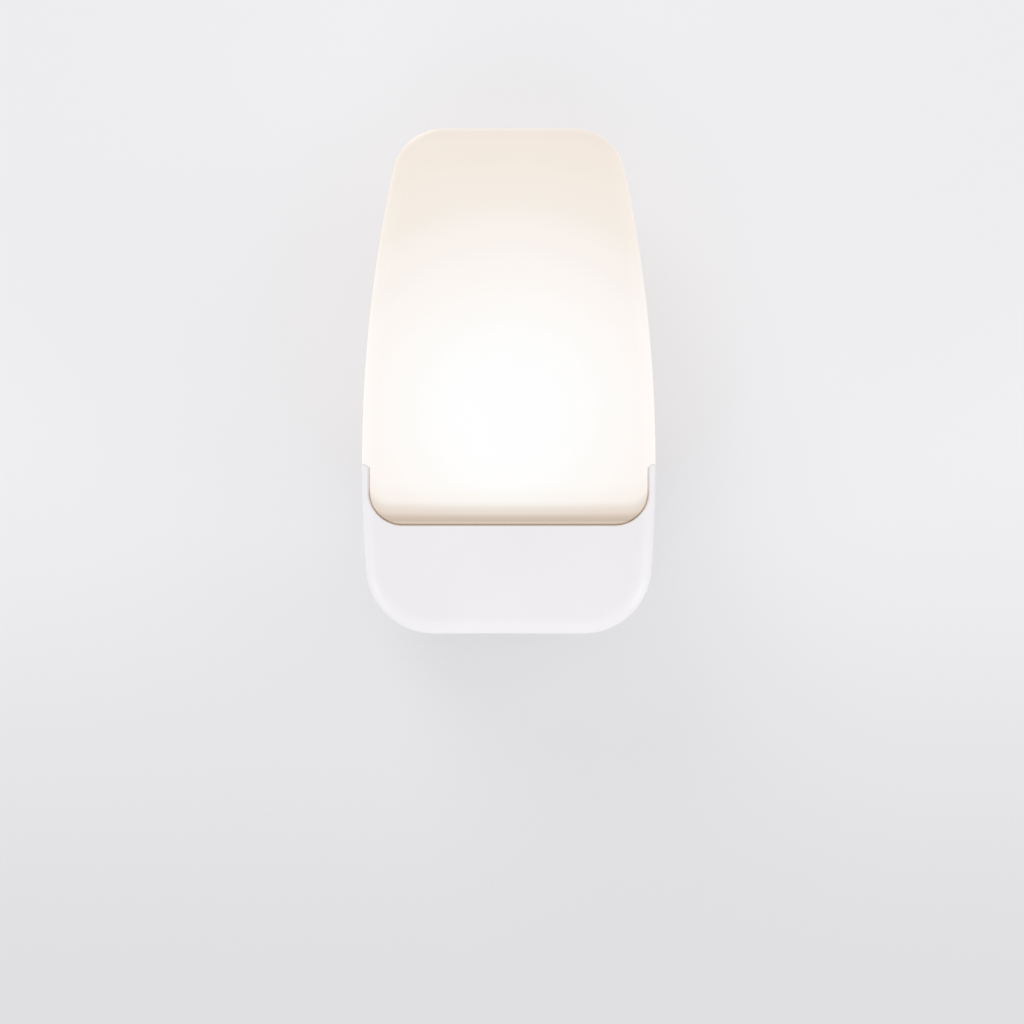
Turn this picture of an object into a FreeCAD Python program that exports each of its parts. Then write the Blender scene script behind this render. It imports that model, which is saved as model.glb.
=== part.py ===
import FreeCAD, Part
import math
import os

# Plug in night light, in millimetres, +Z up. The origin is midway between the two blades, on the
# face that rests on the outlet. Depths are counted from that face towards the room, along -Y.

V = FreeCAD.Vector

# Outline seen from the front: two long side arcs, widest at the rim, with rounded corners
half_width = 36.1
side_r = 366.0
rim_z = 24.4
bottom_z = -17.2
bottom_r = 16.7
top_z = 108.2
top_r = 12.5

# Bowed front, seen from the side, and its rounded edge
front_depth = 43.0
front_r = 260.0
bulge_z = 28.0
front_round = 4.5

# Housing
wall = 2.0
back_d = 1.0
back_wall = 2.2
back_round = 2.5
shoulder_r = 3.0
split_d = 12.0
lip_length = 1.5
lip_gap = 0.1
split_reveal = 0.15
ledge = 2.0
rooted = 0.5
web_t = 1.6
guide_t = 1.4
front_rib_x = 18.0
front_rib_depth = 7.0

# Seam between lens and housing: a U on the front, level with the rim at the sides
rim_wall = 1.75
seam_half = half_width - rim_wall
seam_drop = 14.9
seam_z = rim_z - seam_drop
seam_r = 8.3
rim_start_d = 14.0
rim_corner_r = 2.2
rim_corner_back = 0.6
reveal = 0.3
lens_edge_r = 0.7
housing_edge_r = 0.35
skirt_gap = 0.15

# Lens
lens_back_low = 6.0
lens_back_high = 14.0
lens_back_round = 5.0
lens_wall = 2.0
skirt_wall = 1.8
skirt_lap = 2.0
lug_proud = 0.7
lug_length = 6.0
lug_height = 2.0
lug_gap = 0.2
lug_z = 19.5
side_lug_d = 25.0
rear_lug_x = 15.0
rear_lug_width = 8.0

# Plug: blades of a polarised two-pin plug
blade_pitch = 12.7
blade_t = 1.52
line_width = 6.35
neutral_width = 7.94
blade_length = 17.5
blade_hole_r = 1.98
blade_hole_at = 11.7
blade_tip_chamfer = 1.2
blade_clearance = 0.12
shoulder_step = 1.5
shoulder_t = 1.6
tail_length = 3.5
tail_width = 4.0
tail_hole_r = 0.75
pad_width = 30.0
pad_height = 24.0
pad_r = 5.0
plug_boss_width = 26.0
plug_boss_height = 17.0
plug_boss_d = 5.0
clamp_t = 1.6
clamp_width = 22.0
clamp_height = 15.0
clamp_screw_z = 5.2

# Main board
board_edge = 10.8
board_half = half_width - board_edge
board_low_z = bottom_z + 4.2
board_high_z = 5.0
board_d = 11.0
board_t = 1.6
board_screw_x = board_half - 3.5
board_screw_z = board_low_z + 2.5
post_r = 2.4
lead_r = 0.3
lead_clearance = 0.15
solder_r = 0.85
solder_h = 0.7
lead_tail = 0.5
stand_off = 0.3

# Parts on the board: centres in x and z
film_x, film_z = 11.5 - board_half, -0.2
film_size = (18.0, 14.5, 8.4)
film_pitch = 15.0
filter_x, filter_z = 7.0, 0.0
filter_r, filter_h, filter_pitch = 4.0, 12.0, 3.5
diode_x, diode_top_z, diode_step = board_half - 7.0, 3.4, 3.3
diode_count = 4
diode_r, diode_length, diode_pitch = 1.35, 5.2, 10.0
fuse_x, fuse_z = 10.5 - board_half, -7.2
fuse_r, fuse_length, fuse_pitch = 1.8, 9.5, 12.5
bleed_x, bleed_z = 12.5 - board_half, board_low_z + 2.0
bleed_r, bleed_length, bleed_pitch = 1.2, 6.5, 9.5
zener_x, zener_z = board_half - 13.0, board_low_z + 2.5
zener_pitch = 8.5
led_feed_x = (-3.5, -0.5)
led_feed_z = 3.0
mains_feed = {"line": (board_half - 14.0, -6.0), "neutral": (-5.0, -6.0)}
mains_wire_r = 0.4
led_wire_r = 0.55

# Slide switch on the board, its lever pointing down
switch_length = 12.5
switch_low_z = bottom_z + 5.2
switch_height = 5.0
switch_high_z = switch_low_z + switch_height
switch_depth = 5.7
switch_steel = 0.3
switch_pitch = 3.5
switch_travel = 3.5
slider_length, slider_depth = 6.0, 4.2
stem_length, stem_depth = 3.2, 2.4
terminal_half, terminal_t = 0.5, 0.4
switch_base_t = 1.3
contact_t, contact_gap = 0.25, 0.15
ear_width, ear_height, ear_low = 1.4, 1.0, 2.4

# Slide knob in the underside
knob_plate_length, knob_plate_depth, knob_plate_t = 15.0, 6.6, 1.4
knob_length, knob_depth = 6.0, 3.6
knob_proud = 0.4
knob_clearance = 0.3
slide_gap = 0.2
groove_step, groove_width, groove_depth = 1.3, 0.5, 0.35
thumb_round = 0.3
socket_depth = 0.4

# Tray with the sloping seat of the light source
tray_z = 6.0
tray_t = 1.5
tray_gap = 0.25
seat_front_d = 24.0
seat_back_d = 13.0
seat_half = 15.0
seat_wall = 1.2
seat_low_z = 8.0
tray_rib_t = 1.6
tray_rib_inset = 3.0
clip_width = 1.4
clip_overlap = 1.2
seat_post_r = 1.9
seat_post_depth = 4.0

# Light source
led_board_half, led_board_width, led_board_t = 13.0, 12.0, 1.2
led_count = 4
led_step = 6.0
led_size = (3.5, 2.8, 0.7)
led_cup_r = 1.15
led_cup_depth = 0.45
led_screw_at = 4.0
led_wire_at = 4.3

# Screws: shank, head radius and height, length below the head
case_shank_r, case_head_r, case_head_h, case_screw_length = 1.4, 2.5, 1.7, 18.0
board_shank_r, board_head_r, board_head_h, board_screw_length = 1.1, 2.2, 1.4, 7.1
clamp_shank_r, clamp_head_r, clamp_head_h, clamp_screw_length = 0.95, 1.9, 1.2, 4.5
led_shank_r, led_head_r, led_head_h, led_screw_length = 0.85, 1.7, 1.1, 5.0
case_seat_d = 4.5
case_screw_edge = 5.6
case_screw_x = half_width - case_screw_edge
case_screw_z = 0.0
case_boss_r = 3.4
screw_gap = 0.05
hole_over = 0.5

# The lever's rest is the lit end of its travel
rest_x = switch_travel / 2
board_front = board_d + board_t
switch_d = board_front + stand_off
knob_d = switch_d + switch_depth / 2
floor_z = bottom_z + wall
clamp_d = plug_boss_d
clamp_front = clamp_d + clamp_t
skirt_z = tray_z + tray_t + 0.1


def box(x0, x1, d0, d1, z0, z1):
    return Part.makeBox(x1 - x0, d1 - d0, z1 - z0, V(x0, -d1, z0))


def block(x, d, z, width, depth, height):
    return box(x - width / 2, x + width / 2, d - depth / 2, d + depth / 2, z - height / 2, z + height / 2)


def rod(r, x, z, d0, d1):
    return Part.makeCylinder(r, d1 - d0, V(x, -d0, z), V(0, -1, 0))


def cone(r0, r1, x, z, d0, d1):
    return Part.makeCone(r0, r1, d1 - d0, V(x, -d0, z), V(0, -1, 0))


def bar(r, d, z, x0, x1):
    return Part.makeCylinder(r, x1 - x0, V(x0, -d, z), V(1, 0, 0))


def fused(shapes):
    first, *rest = shapes
    return first.fuse(rest).removeSplitter() if rest else first


def cut(shape, tools):
    return shape.cut(tools) if tools else shape


def mirrored(shape):
    return shape.mirror(V(0, 0, 0), V(1, 0, 0))


def round_rect(width, height, r, d0, d1):
    shape = box(-width / 2, width / 2, d0, d1, -height / 2, height / 2)
    along_depth = [e for e in shape.Edges if abs(e.tangentAt(e.FirstParameter).y) > 0.9]
    return shape.makeFillet(r, along_depth)


def arc(a, b, c):
    return Part.Arc(a, b, c).toShape()


def outline(inset):
    """The front outline, moved in by inset, as one wire in the plane of the outlet face."""
    cx = half_width - side_r
    r_side = side_r - inset

    def corner(z, r, side):
        cz = z - side * r
        x = cx + math.sqrt((side_r - r) ** 2 - (cz - rim_z) ** 2)
        start = math.atan2(cz - rim_z, x - cx)
        middle = (start + side * math.pi / 2) / 2
        inner = r - inset
        tangent = V(cx + r_side * math.cos(start), 0, rim_z + r_side * math.sin(start))
        half_way = V(x + inner * math.cos(middle), 0, cz + inner * math.sin(middle))
        return tangent, half_way, V(x, 0, cz + side * inner)

    low, low_mid, low_flat = corner(bottom_z, bottom_r, -1)
    high, high_mid, high_flat = corner(top_z, top_r, 1)
    widest = V(cx + r_side, 0, rim_z)
    right = [arc(low_flat, low_mid, low), arc(low, widest, high), arc(high, high_mid, high_flat)]
    left = [mirrored(edge) for edge in right]
    flats = [Part.makeLine(mirror_point(p), p) for p in (low_flat, high_flat)]
    return Part.Wire(Part.__sortEdges__(right + left + flats))


def mirror_point(p):
    return V(-p.x, p.y, p.z)


def front_at(z, inset=0.0):
    return front_depth - front_r + math.sqrt((front_r - inset) ** 2 - (z - bulge_z) ** 2)


def side_profile(inset, back_low, back_high):
    """The side view, open above and below: a straight back and the bowed front."""
    z0 = bottom_z - 20
    z1 = top_z + 20
    slope = (back_high - back_low) / (top_z - rim_z)

    def back(z):
        return V(0, -(back_low + slope * (z - rim_z)), z)

    def front(z):
        return V(0, -front_at(z, inset), z)

    edges = [
        Part.makeLine(back(z0), front(z0)),
        arc(front(z0), front((z0 + z1) / 2), front(z1)),
        Part.makeLine(front(z1), back(z1)),
        Part.makeLine(back(z1), back(z0)),
    ]
    return Part.Wire(edges)


def rounded_form(inset, back_low, back_high, back_r):
    """Outline and side view together, with the front and back edges rounded."""
    seen_front = Part.Face(outline(inset)).extrude(V(0, -2 * front_depth, 0))
    seen_front.translate(V(0, front_depth / 2, 0))
    seen_side = Part.Face(side_profile(inset, back_low, back_high)).extrude(V(4 * half_width, 0, 0))
    seen_side.translate(V(-2 * half_width, 0, 0))
    shape = seen_front.common(seen_side).Solids[0]
    front = min(shape.Faces, key=lambda face: face.CenterOfMass.y)
    shape = shape.makeFillet(front_round - inset, front.Edges)
    back = max(shape.Faces, key=lambda face: face.CenterOfMass.y)
    return shape.makeFillet(back_r, back.Edges).Solids[0]


def housing_form(inset, back=None):
    start = back_d + inset if back is None else back
    return rounded_form(inset, start, start, back_round - min(inset, back_round - 1.0))


def lens_form(inset):
    slope = (lens_back_high - lens_back_low) / (top_z - rim_z)
    shift = inset * math.sqrt(1 + slope**2)
    return rounded_form(inset, lens_back_low + shift, lens_back_high + shift, lens_back_round - inset)


def slab(z0, z1):
    return box(-2 * half_width, 2 * half_width, -front_depth, 2 * front_depth, z0, z1)


def seam_prism(inset, start_d):
    """The U on the front, moved in by inset, from a given depth forwards."""
    half = seam_half - inset
    low = seam_z + inset
    r = seam_r - inset
    shape = box(-half, half, start_d, 2 * front_depth, low, 2 * top_z)
    corners = []
    for edge in shape.Edges:
        if edge.BoundBox.YLength > 1 and abs(edge.CenterOfMass.z - low) < 0.01:
            corners.append(edge)
    return shape.makeFillet(r, corners)


def rim_corner(inset):
    """What the rounding of the rim's front corner, in the side view, takes off the housing."""
    d = front_depth - rim_corner_r - rim_corner_back
    z = rim_z - rim_corner_r
    r = rim_corner_r + inset
    square = box(-2 * half_width, 2 * half_width, d, 2 * front_depth, z, 2 * top_z)
    return square.cut(bar(r, d, z, -2 * half_width, 2 * half_width))


def lens_region(inset):
    """Where the lens shows: above the rim and inside the U. A positive inset makes it smaller."""
    above = slab(rim_z + inset, 2 * top_z)
    return fused([above, seam_prism(inset, rim_start_d + inset), rim_corner(inset)])


def seam_distance(x, z):
    """How far a point of the front lies inside the U."""
    across = abs(x) - (seam_half - seam_r)
    if z > seam_z + seam_r:
        return seam_half - abs(x)
    if across < 0:
        return z - seam_z
    return seam_r - math.hypot(across, seam_z + seam_r - z)


def seam_edges(shape, inset):
    """The front edges of a shape along the U."""
    found = []
    for edge in shape.Edges:
        middle = edge.valueAt((edge.FirstParameter + edge.LastParameter) / 2)
        near_front = -middle.y > front_at(middle.z) - wall / 2
        if near_front and abs(seam_distance(middle.x, middle.z) - inset) < 0.02:
            found.append(edge)
    return found


def screw(x, z, seat_d, side, head_r, head_h, shank_r, length):
    """A pan head screw. side is 1 when its head faces the room and -1 when it faces the outlet."""
    head = rod(head_r, x, z, 0, head_h)
    rim = [e for e in head.Edges if e.Closed and abs(e.CenterOfMass.y + head_h) < 0.01]
    head = head.makeFillet(0.45 * head_h, rim)
    slot = 0.22 * head_r
    reach = 0.62 * head_r
    cross = [
        box(x - reach, x + reach, 0.45 * head_h, 2 * head_h, z - slot, z + slot),
        box(x - slot, x + slot, 0.45 * head_h, 2 * head_h, z - reach, z + reach),
    ]
    point = 1.2 * shank_r
    shank = rod(shank_r, x, z, point - length, 0)
    tip = cone(0.35 * shank_r, shank_r, x, z, -length, point - length)
    shape = fused([cut(head, cross), shank, tip])
    if side < 0:
        shape = shape.mirror(V(0, 0, 0), V(0, 1, 0))
    shape.translate(V(0, -seat_d, 0))
    return shape


def pipe(points, r):
    """A round wire through the given points, each (x, depth, z)."""
    curve = Part.BSplineCurve()
    curve.interpolate([V(x, -d, z) for x, d, z in points])
    path = Part.Wire(curve.toShape())
    start = curve.value(curve.FirstParameter)
    along = curve.tangent(curve.FirstParameter)[0]
    ring = Part.Wire(Part.makeCircle(r, start, along))
    return path.makePipeShell([ring], True, True)


def along_board(x, z, pitch):
    return [(x - pitch / 2, z), (x + pitch / 2, z)]


def diode_rows():
    return [diode_top_z - i * diode_step for i in range(diode_count)]


def lead_holes():
    """Where every lead passes through the main board, with the radius of its hole."""
    spots = along_board(film_x, film_z, film_pitch) + along_board(filter_x, filter_z, filter_pitch)
    for z in diode_rows():
        spots += along_board(diode_x, z, diode_pitch)
    spots += along_board(fuse_x, fuse_z, fuse_pitch)
    spots += along_board(bleed_x, bleed_z, bleed_pitch)
    spots += along_board(zener_x, zener_z, zener_pitch)
    holes = [(x, z, lead_r) for x, z in spots]
    holes += [(x, led_feed_z, led_wire_r) for x in led_feed_x]
    holes += [(x, z, mains_wire_r) for x, z in mains_feed.values()]
    return holes + [(x, terminal_z(), terminal_half) for x in terminal_places()]


def terminal_places():
    return [i * switch_pitch for i in (-1, 0, 1)]


def terminal_z():
    return switch_high_z - switch_base_t - terminal_t / 2


def case_screw_places():
    return [(-case_screw_x, case_screw_z), (case_screw_x, case_screw_z)]


def blade_slot(x, width, grow, d0, d1):
    return block(x, (d0 + d1) / 2, 0, blade_t + 2 * grow, d1 - d0, width + 2 * grow)


def blades():
    return [(blade_pitch / 2, line_width), (-blade_pitch / 2, neutral_width)]


def housing_shell():
    """Both covers as one shell: walls, top ledge and the seam, before the split."""
    outer = housing_form(0)
    cavity = housing_form(wall, back_d + back_wall)
    inside = cavity.common(slab(2 * bottom_z, rim_z - ledge))
    seat = lens_form(wall)
    shell = cut(outer, [inside, seat, lens_region(0)])
    corner = box(-2 * half_width, 2 * half_width, -5, back_d + shoulder_r, rim_z - shoulder_r, rim_z + 1)
    rounding = bar(shoulder_r, back_d + shoulder_r, rim_z - shoulder_r, -2 * half_width, 2 * half_width)
    shell = cut(shell, [corner.cut(rounding)])
    return shell.makeFillet(housing_edge_r, seam_edges(shell, 0))


def lip_ring(outer_inset, depth):
    """The lap between the covers: a ring inside the walls, forward of the split."""
    ring = housing_form(outer_inset).cut(housing_form(wall, back_d + back_wall))
    band = box(-2 * half_width, 2 * half_width, split_d, split_d + depth, 2 * bottom_z, rim_z - ledge)
    return ring.common(band)


def inside_housing(shape):
    """Keeps a rib or boss within the walls."""
    return shape.common(housing_form(wall / 2))


def screw_web(x, z, d0, d1):
    """A rib from a screw's boss to the side wall."""
    side = math.copysign(1, x)
    return block(x + side * case_boss_r, (d0 + d1) / 2, z, 2 * case_boss_r, d1 - d0, web_t)


def rear_cover():
    behind = box(-2 * half_width, 2 * half_width, -5, split_d, 2 * bottom_z, 2 * top_z)
    shell = housing_shell().common(behind)
    pad = round_rect(pad_width, pad_height, pad_r, 0, back_d + rooted)
    boss = block(0, (back_d + plug_boss_d) / 2, 0, plug_boss_width, plug_boss_d - back_d, plug_boss_height)
    pieces = [shell, lip_ring(wall / 2 + lip_gap, lip_length), pad, boss]
    holes = []
    for x, z in case_screw_places():
        pieces.append(inside_housing(rod(case_boss_r, x, z, back_d + rooted, split_d)))
        pieces.append(inside_housing(screw_web(x, z, back_d + rooted, split_d - rooted)))
        holes.append(rod(case_head_r + 0.3, x, z, -1, case_seat_d))
        holes.append(rod(case_shank_r + 0.15, x, z, 0, 2 * split_d))
    for x in (-board_screw_x, board_screw_x):
        hole_start = board_front - board_screw_length - hole_over
        pieces.append(inside_housing(rod(post_r, x, board_screw_z, back_d + rooted, board_d)))
        holes.append(rod(board_shank_r + screw_gap, x, board_screw_z, hole_start, board_d + 1))
    for side in (-1, 1):
        rib = box(-tray_rib_t / 2, tray_rib_t / 2, back_d + 1, split_d - 3, board_high_z, tray_z)
        rib.translate(V(side * (board_half - tray_rib_inset), 0, 0))
        pieces.append(rib)
        hole_start = clamp_front - clamp_screw_length - hole_over
        holes.append(rod(clamp_shank_r + screw_gap, 0, side * clamp_screw_z, hole_start, 2 * clamp_d))
    for x, width in blades():
        shoulder = width + 2 * shoulder_step
        holes.append(blade_slot(x, width, blade_clearance, -1, 2 * plug_boss_d))
        holes.append(blade_slot(x, shoulder, blade_clearance, plug_boss_d - shoulder_t, 2 * plug_boss_d))
    return cut(fused(pieces), holes)


def slot_rim():
    """The slot that the knob slides in, with an eased edge below."""
    length = knob_length + switch_travel + 2 * knob_clearance
    depth = knob_depth + 2 * knob_clearance
    slot = block(0, knob_d, bottom_z, length, depth, 4 * wall)
    ease = 0.5
    eased = block(0, knob_d, bottom_z - 1 + ease, length + 2 * ease, depth + 2 * ease, 2)
    upper = [e for e in eased.Edges if abs(e.CenterOfMass.z - bottom_z - ease) < 0.01]
    return [slot, eased.makeChamfer(0.98 * ease, upper)]


def front_cover():
    start = split_d + split_reveal
    ahead = box(-2 * half_width, 2 * half_width, start, 2 * front_depth, 2 * bottom_z, 2 * top_z)
    lap = lip_ring(wall / 2, lip_length + lip_gap)
    pieces = [cut(housing_shell().common(ahead), [lap])]
    holes = slot_rim()
    for x, z in case_screw_places():
        pieces.append(inside_housing(rod(case_boss_r, x, z, start, front_at(z, wall / 2))))
        pieces.append(inside_housing(screw_web(x, z, split_d + 2, front_depth)))
        holes.append(rod(case_shank_r + screw_gap, x, z, 0, case_seat_d + case_screw_length + 1))
    for side in (-1, 1):
        rib_start = front_at(bottom_z) - front_rib_depth
        rib = box(-tray_rib_t / 2, tray_rib_t / 2, rib_start, front_depth, floor_z + 3, tray_z)
        rib.translate(V(side * front_rib_x, 0, 0))
        pieces.append(inside_housing(rib))
        pocket_width = 2 * (lug_proud + lug_gap + 1)
        holes.append(block(side * (seam_half - 1), side_lug_d, lug_z, pocket_width,
                           lug_length + 2 * lug_gap, lug_height + 2 * lug_gap))
    guide_d = knob_d + knob_plate_depth / 2 + slide_gap
    guide_top = floor_z + knob_plate_t + slide_gap
    guide = box(-knob_plate_length, knob_plate_length, guide_d, guide_d + guide_t,
                bottom_z + wall / 2, guide_top)
    pieces.append(inside_housing(guide))
    return cut(fused(pieces), holes + [lap])


def lens():
    shown = lens_form(0).common(lens_region(reveal))
    shown = shown.makeFillet(lens_edge_r, seam_edges(shown, reveal))
    behind_rim = lens_form(0).common(slab(rim_z + reveal, 2 * top_z))
    skirt = lens_form(wall + skirt_gap).common(slab(skirt_z, rim_z + reveal + skirt_lap))
    hollow = lens_form(lens_wall).common(slab(rim_z + reveal + skirt_lap, 2 * top_z))
    hollow_low = lens_form(wall + skirt_gap + skirt_wall).common(slab(0, rim_z + reveal + skirt_lap + 1))
    pieces = [shown, behind_rim, skirt]
    for side in (-1, 1):
        lug_x = side * (seam_half - reveal - 0.5)
        pieces.append(block(lug_x, side_lug_d, lug_z, 1 + 2 * lug_proud, lug_length, lug_height))
        rear_d = skirt_back(seam_z + reveal)
        rear = box(-rear_lug_width / 2, rear_lug_width / 2, rear_d - 1.5, rear_d + 2.5,
                   rim_z - ledge - lug_height - 0.1, rim_z - ledge - 0.1)
        rear.translate(V(side * rear_lug_x, 0, 0))
        pieces.append(rear)
    return cut(fused(pieces), [hollow, hollow_low])


def skirt_back(z):
    """Depth of the skirt's outer back face."""
    slope = (lens_back_high - lens_back_low) / (top_z - rim_z)
    shift = (wall + skirt_gap) * math.sqrt(1 + slope**2)
    return lens_back_low + shift + slope * (z - rim_z)


def seat_slope():
    """Places something drawn flat, with +Z as its outward side, on the sloping seat."""
    rise = seat_front_d - seat_back_d
    middle = V(0, -(seat_front_d + seat_back_d) / 2, seat_low_z + rise / 2)
    return FreeCAD.Placement(middle, FreeCAD.Rotation(V(1, 0, 0), 45))


def on_seat(shape):
    placed = shape.copy()
    placed.Placement = seat_slope().multiply(placed.Placement)
    return placed


def flat_block(x, y, z0, width, height, t):
    return Part.makeBox(width, height, t, V(x - width / 2, y - height / 2, z0))


def flat_rod(r, x, y, z0, z1):
    return Part.makeCylinder(r, z1 - z0, V(x, y, z0), V(0, 0, 1))


def wedge(shrink, low):
    rise = seat_front_d - seat_back_d
    slant = shrink * math.sqrt(2)
    front = seat_front_d - slant + (seat_low_z - low)
    back = seat_back_d - seat_wall + shrink
    top = seat_low_z + rise - slant
    corners = [(front, low), (seat_back_d, top), (back, top), (back, low)]
    if shrink:
        corners = [(front, low), (back, top + seat_back_d - back), (back, low)]
    points = [V(0, -d, z) for d, z in corners]
    face = Part.Face(Part.makePolygon(points + points[:1]))
    half = seat_half - shrink
    shape = face.extrude(V(2 * half, 0, 0))
    shape.translate(V(-half, 0, 0))
    return shape


def led_screw_spots():
    return [(0, -led_screw_at), (0, led_screw_at)]


def led_wire_spots():
    return [(x - 3.0, led_wire_at) for x in led_feed_x]


def reflector_tray():
    plate = housing_form(wall + tray_gap, back_d + back_wall + tray_gap).common(slab(tray_z, tray_z + tray_t))
    around_plug = block(0, 0, tray_z, plug_boss_width + 2 * tray_gap, 2 * (tail_end_d() + 0.5), 4 * tray_t)
    seat = fused([cut(plate, [around_plug]), wedge(0, tray_z + tray_t / 2)])
    pieces = [seat.cut(wedge(seat_wall, tray_z - 1))]
    holes = []
    for x, y in led_screw_spots():
        pieces.append(on_seat(flat_rod(seat_post_r, x, y, -seat_post_depth, -seat_wall / 2)))
        holes.append(on_seat(flat_rod(led_shank_r + screw_gap, x, y, -led_screw_length, 1)))
    for x, y in led_wire_spots():
        holes.append(on_seat(flat_rod(led_wire_r + 0.3, x, y, -3, 1)))
    for side in (-1, 1):
        clip = box(-clip_width / 2, clip_width / 2, board_front + 0.1, board_front + 1.5,
                   board_high_z - clip_overlap, tray_z + tray_t / 2)
        clip.translate(V(side * (board_half - clip_width / 2), 0, 0))
        pieces.append(clip)
    return cut(fused(pieces), holes)


def led_board():
    plate = flat_block(0, 0, 0, 2 * led_board_half, led_board_width, led_board_t)
    holes = [flat_rod(led_shank_r + 0.2, x, y, -1, 3) for x, y in led_screw_spots()]
    holes += [flat_rod(led_wire_r + 0.1, x, y, -1, 3) for x, y in led_wire_spots()]
    return on_seat(cut(plate, holes))


def led_places():
    return [(i - (led_count - 1) / 2) * led_step for i in range(led_count)]


def led_packages():
    length, width, height = led_size
    bodies = []
    for x in led_places():
        body = flat_block(x, 0, led_board_t, length, width, height)
        upright = [e for e in body.Edges if e.BoundBox.ZLength > height / 2]
        body = body.makeChamfer(0.25, upright)
        cup_low = led_board_t + height - led_cup_depth
        cup = Part.makeCone(0.8 * led_cup_r, led_cup_r, led_cup_depth, V(x, 0, cup_low), V(0, 0, 1))
        bodies.append(on_seat(body.cut(cup)))
    return bodies


def led_phosphors():
    drops = []
    for x in led_places():
        top = led_board_t + led_size[2]
        cup_low = top - led_cup_depth
        fill = Part.makeCone(0.8 * led_cup_r, led_cup_r, led_cup_depth, V(x, 0, cup_low), V(0, 0, 1))
        drops.append(on_seat(fill))
    return drops


def flat_screw(x, y, seat_z, head_r, head_h, shank_r, length):
    """The same pan head screw, standing on the flat drawing."""
    shape = screw(0, 0, 0, 1, head_r, head_h, shank_r, length)
    shape.rotate(V(0, 0, 0), V(1, 0, 0), -90)
    shape.translate(V(x, y, seat_z))
    return shape


def led_board_screws():
    return [on_seat(flat_screw(x, y, led_board_t, led_head_r, led_head_h, led_shank_r, led_screw_length))
            for x, y in led_screw_spots()]


def blade(x, width):
    outside = box(x - blade_t / 2, x + blade_t / 2, -blade_length, plug_boss_d, -width / 2, width / 2)
    tip = [e for e in outside.Edges if abs(e.CenterOfMass.y - blade_length) < 0.01]
    outside = outside.makeChamfer(0.45, [e for e in tip if e.BoundBox.ZLength > 1])
    shoulder = blade_slot(x, width + 2 * shoulder_step, 0, plug_boss_d - shoulder_t, plug_boss_d)
    tail_start = plug_boss_d - 1
    tail = block(x, (tail_start + tail_end_d()) / 2, 0, blade_t / 2, tail_end_d() - tail_start, tail_width)
    far = [e for e in tail.Edges if abs(e.CenterOfMass.y + tail_end_d()) < 0.01]
    tail = tail.makeChamfer(1.0, [e for e in far if e.BoundBox.ZLength < 0.1])
    corners = []
    for sign in (-1, 1):
        corner = Part.makePolygon([V(0, blade_length, sign * width / 2),
                                   V(0, blade_length, sign * (width / 2 - blade_tip_chamfer)),
                                   V(0, blade_length - blade_tip_chamfer, sign * width / 2),
                                   V(0, blade_length, sign * width / 2)])
        wedge_cut = Part.Face(corner).extrude(V(2 * blade_t, 0, 0))
        wedge_cut.translate(V(x - blade_t, 0, 0))
        corners.append(wedge_cut)
    hole = bar(blade_hole_r, -blade_hole_at, 0, x - blade_t, x + blade_t)
    eye = bar(tail_hole_r + 0.1, tail_eye_d(), 0, x - blade_t, x + blade_t)
    return cut(fused([cut(outside, corners), shoulder, tail]), [hole, eye])


def tail_end_d():
    return plug_boss_d + tail_length


def tail_eye_d():
    return tail_end_d() - 1.2


def blade_clamp():
    plate = round_rect(clamp_width, clamp_height, 1.5, clamp_d, clamp_front)
    holes = []
    for x, _ in blades():
        holes.append(block(x, clamp_d, 0, blade_t / 2 + 0.3, 9, tail_width + 0.3))
    for side in (-1, 1):
        holes.append(rod(clamp_shank_r + 0.15, 0, side * clamp_screw_z, 0, 9))
    return cut(plate, holes)


def blade_clamp_screws():
    return [screw(0, side * clamp_screw_z, clamp_front, 1, clamp_head_r, clamp_head_h, clamp_shank_r,
                  clamp_screw_length)
            for side in (-1, 1)]


def main_board():
    plate = box(-board_half, board_half, board_d, board_front, board_low_z, board_high_z)
    holes = [rod(r + lead_clearance, x, z, 0, 30) for x, z, r in lead_holes()]
    holes += [rod(board_shank_r + 0.2, x, board_screw_z, 0, 30) for x in (-board_screw_x, board_screw_x)]
    return cut(plate, holes)


def main_board_screws():
    return [screw(x, board_screw_z, board_front, 1, board_head_r, board_head_h, board_shank_r,
                  board_screw_length)
            for x in (-board_screw_x, board_screw_x)]


def radial_leads(x, z, pitch, body_d):
    return [rod(lead_r, lx, lz, board_d - lead_tail, body_d) for lx, lz in along_board(x, z, pitch)]


def axial_part(x, z, r, length, pitch):
    """A round part lying on the board, its two leads bent down into their holes."""
    d = board_front + stand_off + r
    bodies = [bar(r, d, z, x - length / 2, x + length / 2)]
    for side in (-1, 1):
        reach = side * pitch / 2
        bodies.append(pipe_corner(x + side * length / 2, x + reach, d, z))
    ends = [e for e in bodies[0].Edges if e.Closed]
    bodies[0] = bodies[0].makeFillet(0.25 * r, ends)
    return fused(bodies)


def pipe_corner(x0, x1, d, z):
    """A bent lead from the end of a lying part, down through the board."""
    side = math.copysign(1, x1 - x0)
    bend = 2.2 * lead_r
    inner = x0 - side * 0.3
    turn = x1 - side * bend
    level = bar(lead_r, d, z, min(inner, turn), max(inner, turn))
    ring = Part.Face(Part.Wire(Part.makeCircle(lead_r, V(turn, -d, z), V(1, 0, 0))))
    elbow = ring.revolve(V(turn, bend - d, z), V(0, 0, 1), side * 90)
    down = rod(lead_r, x1, z, board_d - lead_tail, d - bend)
    return level.fuse([elbow, down])


def film_capacitor():
    length, depth, height = film_size
    start = board_front + stand_off
    body = block(film_x, start + depth / 2, film_z, length, depth, height)
    body = body.makeFillet(0.8, [e for e in body.Edges if e.CenterOfMass.y < -start - 0.1])
    return fused([body] + radial_leads(film_x, film_z, film_pitch, start + 1))


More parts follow.
